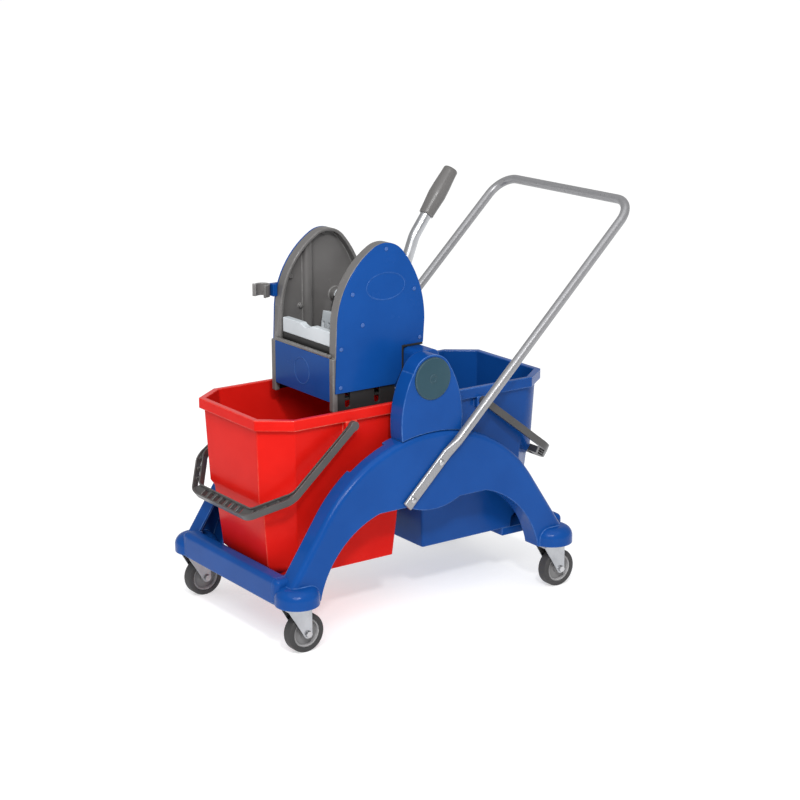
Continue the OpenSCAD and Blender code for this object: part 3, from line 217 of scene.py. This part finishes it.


# The trolley's finishes: two shades and an edge colour for rubbed wear and painted highlight, range of
# roughness, shine and edge width

BLUE, BLUE_HIGH, BLUE_WEAR_AND_HIGHLIGHT = (0.0040, 0.0540, 0.2420), (0.0055, 0.0620, 0.2700), (0.130, 0.270, 0.600)
RED, RED_HIGH, RED_WEAR_AND_HIGHLIGHT = (0.580, 0.0085, 0.0055), (0.640, 0.0120, 0.0080), (0.860, 0.260, 0.180)
GREY, GREY_HIGH, GREY_WEAR_AND_HIGHLIGHT = (0.118, 0.114, 0.112), (0.138, 0.133, 0.131), (0.36, 0.355, 0.35)
MATERIALS = {
    "blue_plastic": plastic("blue moulding", BLUE, BLUE_HIGH, BLUE_WEAR_AND_HIGHLIGHT, (0.17, 0.25), 0.12, 0.004),
    "red_plastic": plastic("red moulding", RED, RED_HIGH, RED_WEAR_AND_HIGHLIGHT, (0.18, 0.26), 0.05, 0.004),
    "grey_plastic": plastic("grey moulding", GREY, GREY_HIGH, GREY_WEAR_AND_HIGHLIGHT, (0.20, 0.28), 0.25, 0.005),
    "dark_plastic": plastic("dark moulding", (0.018, 0.018, 0.018), (0.026, 0.026, 0.026), (0.07, 0.07, 0.07),
                            (0.38, 0.50), 0.20, 0.0012),
    "bail_plastic": plastic("bail moulding", (0.052, 0.050, 0.049), (0.068, 0.066, 0.065),
                            (0.22, 0.217, 0.215), (0.26, 0.36), 0.40, 0.002),
    "cap_plastic": plastic("cap moulding", (0.022, 0.058, 0.078), (0.030, 0.070, 0.092), (0.12, 0.17, 0.20),
                           (0.40, 0.50), 0.15, 0.0012),
    "white_plastic": plastic("white moulding", (0.50, 0.54, 0.57), (0.58, 0.62, 0.65), (0.74, 0.76, 0.78),
                             (0.28, 0.40), 0.25, 0.003),
    "hub_plastic": plastic("hub moulding", (0.180, 0.178, 0.180), (0.230, 0.228, 0.230), (0.40, 0.395, 0.39),
                           (0.42, 0.54), 0.25, 0.0012),
    "tyre_rubber": plastic("tyre rubber", (0.040, 0.039, 0.040), (0.056, 0.055, 0.056), (0.12, 0.12, 0.12),
                           (0.55, 0.70), 0.25, 0.0015, 260.0, 0.0002),
    "zinc": metal("zinc", (0.36, 0.37, 0.39), (0.46, 0.47, 0.49), (0.26, 0.38)),
    "bolt_steel": metal("bolt steel", (0.42, 0.42, 0.43), (0.56, 0.56, 0.57), (0.28, 0.40)),
    "chrome_tube": metal("bright tube", (0.46, 0.47, 0.49), (0.54, 0.55, 0.57), (0.28, 0.36), 120.0, 0.00001),
    "hammered_tube": hammered("hammered paint"),
}
SHEET_BLUE = plastic("blue sheet", BLUE, BLUE_HIGH, BLUE_WEAR_AND_HIGHLIGHT, (0.20, 0.28), 0.08, 0.0008)
SHEET_NODES = ("near_side_cover", "far_side_cover", "front_panel", "clip_bracket")
HUB_RING = plastic("bright hub ring", (0.36, 0.355, 0.36), (0.44, 0.435, 0.44), (0.62, 0.615, 0.61),
                   (0.30, 0.40), 0.35, 0.0008)
# Glossier copies of the bucket plastics for the rim tops, painted paler as a painted highlight
RED_RIM_HIGHLIGHT = plastic("red rim highlight", RED_HIGH, (0.70, 0.020, 0.014), RED_WEAR_AND_HIGHLIGHT, (0.20, 0.28), 0.75, 0.002)
BLUE_RIM_HIGHLIGHT = plastic("blue rim highlight", BLUE_HIGH, (0.0070, 0.0680, 0.2900), BLUE_WEAR_AND_HIGHLIGHT, (0.20, 0.28), 0.40, 0.002)
SCREW_BLUE = plastic("blue screw heads", (0.010, 0.075, 0.290), (0.018, 0.090, 0.330), (0.40, 0.50, 0.70),
                     (0.16, 0.22), 0.6, 0.0006)

slot_of = {s["node"]: s["material_slot"] for s in frame["record"]["subparts"]}


def finish_of(node):
    if node in SHEET_NODES:
        return SHEET_BLUE
    return SCREW_BLUE if node == "cover_screws" else MATERIALS[slot_of[node]]


for name, obj in nodes.items():
    obj.data.materials.clear()
    obj.data.materials.append(finish_of(name))


# Softened mouldings: each CAD solid is copied, its doubles merged and its crisp edges rounded

MERGE, SHORTEST = 2e-4, 5e-6
FLAT, CRISP, SMOOTH = math.radians(0.5), math.radians(28.0), math.radians(42.0)
ROUND_STEPS, TRIES = 3, 4
STEEPEST_TURN = 3.0
ROOM_ALONG, ROOM_ACROSS, ROOM_BETWEEN = 1.15, 1.05, 2.1
FOLD_SHARE, FOLD_AREA = 1.01, 1e-8


def merged_copy(node):
    bpy.ops.object.select_all(action="DESELECT")
    piece = bpy.data.objects.new(node + "_soft", nodes[node].data.copy())
    bpy.context.scene.collection.objects.link(piece)
    bpy.context.view_layer.objects.active = piece
    piece.select_set(True)
    bpy.ops.object.mode_set(mode="EDIT")
    bpy.ops.mesh.select_mode(type="EDGE")
    bpy.ops.mesh.select_all(action="SELECT")
    bpy.ops.mesh.customdata_custom_splitnormals_clear()
    bpy.ops.mesh.remove_doubles(threshold=MERGE)
    bpy.ops.mesh.dissolve_limited(angle_limit=FLAT)
    bpy.ops.object.mode_set(mode="OBJECT")
    return piece


# How much of its length an edge loses at its ends when a rounding of unit width follows its chain
def end_loss(edge, here):
    loss = 0.0
    for v in edge.verts:
        chain = [near for near in here[v] if near is not edge]
        if len(chain) == 1:
            one = (edge.other_vert(v).co - v.co).normalized()
            two = (chain[0].other_vert(v).co - v.co).normalized()
            turn = math.pi - one.angle(two, math.pi)
            loss += math.tan(min(turn, STEEPEST_TURN) / 2)
    return loss


# Crisp edges with room on both sides for a rounding of this width
def roomy_edges(mesh, width, wanted, banned):
    def fits(edge):
        return (len(edge.link_faces) == 2 and edge.calc_face_angle() > CRISP and wanted(edge)
                and not any(v.index in banned for v in edge.verts))

    chosen = {edge for edge in mesh.edges if fits(edge)}
    tight = True
    while tight:
        tight = set()
        here = {v: [edge for edge in v.link_edges if edge in chosen] for e in chosen for v in e.verts}
        for v, mine in here.items():
            for edge in v.link_edges:
                length = edge.calc_length()
                if edge in chosen:
                    if length < ROOM_ALONG * width * max(end_loss(edge, here), len(mine) > 2):
                        tight.add(edge)
                elif length < (ROOM_BETWEEN if edge.other_vert(v) in here else ROOM_ACROSS) * width:
                    tight.update(near for near in mine if set(near.link_faces) & set(edge.link_faces))
        chosen -= tight
    return chosen


# Edges that hang together are rounded together, so a tight place holds back only its own neighbours;
# the chains come in the order of their first edges, so each run gives the same shape
def chains(chosen):
    left = set(chosen)
    groups = []
    for first in sorted(chosen, key=lambda edge: edge.index):
        if first not in left:
            continue
        left.remove(first)
        reach = [first]
        group = [first]
        while reach:
            near = {e for v in reach.pop().verts for e in v.link_edges} & left
            left -= near
            reach += near
            group += near
        groups.append(group)
    return groups


# Points where a face's outline crosses itself, or all its points if it is folded in another way
def folded_points(mesh):
    covered = {}
    for corner in mesh.calc_loop_triangles():
        a, b, c = (loop.vert.co for loop in corner)
        face = corner[0].face
        covered[face] = covered.get(face, 0.0) + (b - a).cross(c - a).length / 2
    points = set()
    for face, area in covered.items():
        if area < FOLD_SHARE * face.calc_area() + FOLD_AREA:
            continue
        turn = face.normal.to_track_quat("Z", "Y").to_matrix().transposed()
        ring = [(turn @ v.co).to_2d() for v in face.verts]
        count = len(ring)
        hits = set()
        for i in range(count):
            for j in range(i + 2, count if i else count - 1):
                if intersect_line_line_2d(ring[i], ring[(i + 1) % count], ring[j], ring[(j + 1) % count]):
                    hits |= {i, (i + 1) % count, j, (j + 1) % count}
        points |= {face.verts[i].co.copy().freeze() for i in hits or range(count)}
    return points


# Rounds one chain after the other and gives the points of the faces that came out folded
def round_once(piece, width, wanted, banned):
    bpy.ops.object.mode_set(mode="EDIT")
    mesh = bmesh.from_edit_mesh(piece.data)
    mesh.verts.index_update()
    mesh.edges.index_update()
    tag = mesh.edges.layers.int.get("chain") or mesh.edges.layers.int.new("chain")
    for edge in mesh.edges:
        edge[tag] = 0
    groups = sorted(chains(roomy_edges(mesh, width, wanted, banned)), key=len, reverse=True)
    for number, group in enumerate(groups, 1):
        for edge in group:
            edge[tag] = number
    for number in range(1, len(groups) + 1):
        mesh = bmesh.from_edit_mesh(piece.data)
        tag = mesh.edges.layers.int["chain"]
        bpy.ops.mesh.select_all(action="DESELECT")
        for edge in mesh.edges:
            if edge[tag] == number:
                edge.select_set(True)
                edge[tag] = 0
        bmesh.update_edit_mesh(piece.data)
        bpy.ops.mesh.bevel(offset=width, offset_type="OFFSET", segments=ROUND_STEPS, profile=0.5,
                           affect="EDGES", clamp_overlap=True)
    bpy.ops.mesh.select_all(action="SELECT")
    bpy.ops.mesh.dissolve_degenerate(threshold=SHORTEST)
    folded = folded_points(bmesh.from_edit_mesh(piece.data))
    bpy.ops.object.mode_set(mode="OBJECT")
    return folded


# Rounds the edges, and again without the corners whose faces came out folded
def round_edges(piece, width, wanted):
    before = piece.data.copy()
    corners = KDTree(len(before.vertices))
    for v in before.vertices:
        corners.insert(v.co, v.index)
    corners.balance()
    banned = set()
    for attempt in range(TRIES):
        if attempt:
            piece.data = before.copy()
        folded = round_once(piece, width, wanted, banned)
        bad = {corners.find(point)[1] for point in folded} - banned
        if not bad:
            break
        banned |= bad


def smooth_and_ride(piece, node):
    bpy.ops.object.shade_smooth_by_angle(angle=SMOOTH)
    weight = piece.modifiers.new("weight", "WEIGHTED_NORMAL")
    weight.keep_sharp = True
    bpy.ops.object.modifier_apply(modifier="weight")
    piece.data.materials.clear()
    piece.data.materials.append(finish_of(node))
    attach(piece, nodes[node]["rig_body"])


def soften(node, *passes):
    piece = merged_copy(node)
    if node in BAIL_ENDS:
        open_slots(piece, BAIL_ENDS[node])
    for width, wanted in passes:
        round_edges(piece, width, wanted)
    piece.data.attributes.remove(piece.data.attributes["chain"])
    smooth_and_ride(piece, node)
    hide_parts(node)


# The bail's slots are opened up to the channel's lips, which leaves a ladder of narrow rungs

MID_X = (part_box("chassis_frame")[0][0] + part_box("chassis_frame")[1][0]) / 2
BAIL_ENDS = {"red_bail": -1, "blue_bail": 1}
BAIL_PIVOT_X, BAIL_PIVOT_Z, BAIL_DROP = 0.152, 0.399, math.radians(38.0)
BAIL_GRIP, BAIL_GRIP_Y = 0.244, 0.0943
BAIL_ARM, BAIL_BEND_Y = 0.178, 0.1643
GRIP_SLOT, GRIP_PITCH, GRIP_SLOTS = (0.0145, 0.0140, 0.030), 0.021, 7
SIDE_SLOT, SIDE_SLOTS, SIDE_START, SIDE_PITCHES = (0.0240, 0.0115, 0.030), 3, 0.7, 3.4


def slot_cutter(end, along, across, turn, size):
    place = (MID_X + end * (BAIL_PIVOT_X + along * math.cos(BAIL_DROP)), across,
             BAIL_PIVOT_Z - along * math.sin(BAIL_DROP))
    tilt = Matrix.Rotation(end * BAIL_DROP, 3, "Y") @ Matrix.Rotation(end * turn, 3, "Z")
    bpy.ops.mesh.primitive_cube_add(size=1.0, location=place, rotation=tilt.to_euler(), scale=size)
    return bpy.context.object


def open_slots(piece, end):
    bpy.ops.object.select_all(action="DESELECT")
    middle = (GRIP_SLOTS - 1) / 2
    cutters = [slot_cutter(end, BAIL_GRIP, (i - middle) * GRIP_PITCH, 0.0, GRIP_SLOT)
               for i in range(GRIP_SLOTS)]
    run, rise = BAIL_GRIP - BAIL_ARM, BAIL_GRIP_Y - BAIL_BEND_Y
    for side in (-1, 1):
        turn = side * math.atan2(rise, run)
        for i in range(SIDE_SLOTS):
            part = (i + SIDE_START) / SIDE_PITCHES
            along, across = BAIL_ARM + part * run, side * (BAIL_BEND_Y + part * rise)
            cutters.append(slot_cutter(end, along, across, turn, SIDE_SLOT))
    bpy.ops.object.select_all(action="DESELECT")
    for cutter in cutters:
        cutter.select_set(True)
    bpy.context.view_layer.objects.active = cutters[0]
    bpy.ops.object.join()
    bpy.ops.object.transform_apply(location=True, rotation=True, scale=True)
    cut = piece.modifiers.new("slots", "BOOLEAN")
    cut.operation = "DIFFERENCE"
    cut.solver = "EXACT"
    cut.object = cutters[0]
    bpy.context.view_layer.objects.active = piece
    bpy.ops.object.modifier_apply(modifier="slots")
    bpy.data.objects.remove(cutters[0])
    piece.select_set(True)


def any_edge(edge):
    return True


# The bucket's upright corners

CORNER_LENGTH, CORNER_RISE = 0.05, 0.6


def bucket_corner(edge):
    run = edge.verts[1].co - edge.verts[0].co
    return run.length > CORNER_LENGTH and abs(run.z) > CORNER_RISE * run.length


# Widths of the roundings by the ending of a node's name, and the edges that get them

SOFT_PASSES = {
    "chassis_frame": ((0.0012, any_edge),),
    "tower": ((0.0015, any_edge),),
    "cross_beam": ((0.0012, any_edge),),
    "disc_cap": ((0.001, any_edge),),
    "bucket": ((0.004, bucket_corner), (0.0012, any_edge)),
    "bail": ((0.0012, any_edge),),
    "push_handle": ((0.001, any_edge),),
    "side_frame": ((0.0012, any_edge),),
    "side_cover": ((0.0006, any_edge),),
    "front_panel": ((0.0012, any_edge),),
    "front_sill": ((0.0006, any_edge),),
    "drain_base": ((0.0007, any_edge),),
    "jaw": ((0.0012, any_edge),),
    "jaw_carrier": ((0.0008, any_edge),),
    "lever_grip": ((0.001, any_edge),),
    "clip_bracket": ((0.001, any_edge),),
    "fork": ((0.0008, any_edge),),
    "hub": ((0.0009, any_edge),),
}
for name in list(nodes):
    ending = next((e for e in SOFT_PASSES if name == e or name.endswith("_" + e)), None)
    if ending:
        soften(name, *SOFT_PASSES[ending])

# The wheel's hub has a brighter ring where its edge is turned

HUB_RING_W = 0.0032

for name in list(nodes):
    if name.endswith("_hub"):
        hub = bpy.data.objects[name + "_soft"]
        hub.data.materials.append(HUB_RING)
        low, high = (Vector(v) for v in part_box(name))
        axle = (low + high) / 2
        ring = (high.z - low.z) / 2 - HUB_RING_W
        for face in hub.data.polygons:
            off = face.center - axle
            if math.hypot(off.x, off.z) > ring:
                face.material_index = 1

# The buckets' rims shine along their top: their top faces get a glossier copy of the plastic in a paler
# colour, which is a painted highlight

RIM_DEPTH, RIM_UP = 0.004, 0.35

for name, rim_highlight in (("red_bucket", RED_RIM_HIGHLIGHT), ("blue_bucket", BLUE_RIM_HIGHLIGHT)):
    bucket = bpy.data.objects[name + "_soft"]
    bucket.data.materials.append(rim_highlight)
    rim_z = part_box(name)[1][2] - RIM_DEPTH
    for face in bucket.data.polygons:
        if face.center.z > rim_z and face.normal.z > RIM_UP:
            face.material_index = 1

# The open ends of the end beams are closed by rounded blocks that run into the caster bosses

BEAM_OUT, BEAM_DEPTH, BEAM_LOW, BEAM_HIGH = 0.3377, 0.0334, 0.0943, 0.1417
BEAM_END_FROM, BEAM_END_TO = 0.150, 0.173
BEAM_END_ROUND, BEAM_END_STEPS = 0.0106, 6


def beam_end(name, end, side):
    place = (MID_X + end * (BEAM_OUT - BEAM_DEPTH / 2), side * (BEAM_END_FROM + BEAM_END_TO) / 2,
             (BEAM_LOW + BEAM_HIGH) / 2)
    size = (BEAM_DEPTH, BEAM_END_TO - BEAM_END_FROM, BEAM_HIGH - BEAM_LOW)
    bpy.ops.object.select_all(action="DESELECT")
    bpy.ops.mesh.primitive_cube_add(size=1.0, location=place, scale=size)
    block = bpy.context.object
    block.name = name
    bpy.ops.object.transform_apply(location=True, rotation=True, scale=True)
    bpy.ops.object.mode_set(mode="EDIT")
    bpy.ops.mesh.select_mode(type="EDGE")
    bpy.ops.mesh.select_all(action="DESELECT")
    mesh = bmesh.from_edit_mesh(block.data)
    for edge in mesh.edges:
        middle = (edge.verts[0].co + edge.verts[1].co) / 2 - Vector(place)
        outwards = (end * middle.x, side * middle.y, middle.z)
        edge.select_set(sum(way > length / 4 for way, length in zip(outwards, size)) == 2)
    bmesh.update_edit_mesh(block.data)
    bpy.ops.mesh.bevel(offset=BEAM_END_ROUND, offset_type="OFFSET", segments=BEAM_END_STEPS, profile=0.5,
                       affect="EDGES")
    bpy.ops.object.mode_set(mode="OBJECT")
    smooth_and_ride(block, "chassis_frame")


for end, end_name in ((-1, "front"), (1, "rear")):
    for side, side_name in ((-1, "near"), (1, "far")):
        beam_end(end_name + "_" + side_name + "_beam_end", end, side)


# Stage: pale floor, soft light and the photo's camera

FLOOR_SIZE, FLOOR_PATCHES = 380.0, 1.5
FLOOR_LOW, FLOOR_HIGH = (0.60, 0.60, 0.60), (0.62, 0.62, 0.62)
FLOOR_ROUGHNESS, FLOOR_SHINE, FLOOR_GLOW = 0.9, 0.1, 0.54
WHITE = (1.0, 1.0, 1.0, 1.0)
SKY_STRENGTH = 0.47


def floor_material():
    mat, tree, shader = new_material("floor")
    tree.links.new(ramp(tree, noise(tree, FLOOR_PATCHES), FLOOR_LOW, FLOOR_HIGH), shader.inputs["Base Color"])
    shader.inputs["Roughness"].default_value = FLOOR_ROUGHNESS
    shader.inputs["Specular IOR Level"].default_value = FLOOR_SHINE
    shader.inputs["Emission Color"].default_value = WHITE
    shader.inputs["Emission Strength"].default_value = FLOOR_GLOW
    return mat


bpy.ops.object.select_all(action="DESELECT")
bpy.ops.mesh.primitive_plane_add(size=FLOOR_SIZE, location=(0.0, 0.0, 0.0))
floor = bpy.context.object
floor.name = "floor"
floor.data.materials.append(floor_material())

world = bpy.data.worlds.new("studio")
bpy.context.scene.world = world
world.use_nodes = True
background = world.node_tree.nodes["Background"]
background.inputs["Color"].default_value = WHITE
background.inputs["Strength"].default_value = SKY_STRENGTH


# Square lights aimed at the middle of the trolley: a broad key and a small one for the glints

LIT_POINT = Vector((0.0, 0.0, 0.35))


def area_light(name, place, size, power):
    data = bpy.data.lights.new(name, "AREA")
    data.shape = "SQUARE"
    data.size = size
    data.energy = power
    lamp = bpy.data.objects.new(name, data)
    lamp.location = place
    lamp.rotation_euler = (LIT_POINT - Vector(place)).to_track_quat("-Z", "Y").to_euler()
    bpy.context.scene.collection.objects.link(lamp)


area_light("key", (-2.2, -2.0, 2.6), 1.2, 48.0)
area_light("spark", (-1.3, -2.5, 2.5), 0.28, 45.0)

# A wide soft light from above, the same all over the floor

OVERHEAD_STRENGTH, OVERHEAD_SPREAD = 1.05, math.radians(70.0)
OVERHEAD_LEAN = (math.radians(14.0), math.radians(-10.0), 0.0)

overhead = bpy.data.lights.new("overhead", "SUN")
overhead.energy = OVERHEAD_STRENGTH
overhead.angle = OVERHEAD_SPREAD
overhead_lamp = bpy.data.objects.new("overhead", overhead)
overhead_lamp.rotation_euler = OVERHEAD_LEAN
bpy.context.scene.collection.objects.link(overhead_lamp)

# Camera solved from the photo: its target, distance and angles

AZ, EL, DIST = math.radians(-35.5813), math.radians(15.0393), 3.8511
TARGET = Vector((0.000188, 0.0026, 0.3808))
SENSOR, LENS, FARTHEST = 36.0, 88.44, 200.0

back = Vector((math.sin(AZ) * math.cos(EL), -math.cos(AZ) * math.cos(EL), math.sin(EL)))
cam_data = bpy.data.cameras.new("camera")
cam_data.sensor_width = SENSOR
cam_data.lens = LENS
cam_data.clip_end = FARTHEST
camera = bpy.data.objects.new("camera", cam_data)
camera.location = TARGET + back * DIST
camera.rotation_euler = (-back).to_track_quat("-Z", "Y").to_euler()
bpy.context.scene.collection.objects.link(camera)
bpy.context.scene.camera = camera
bpy.context.scene.view_settings.view_transform = "Standard"
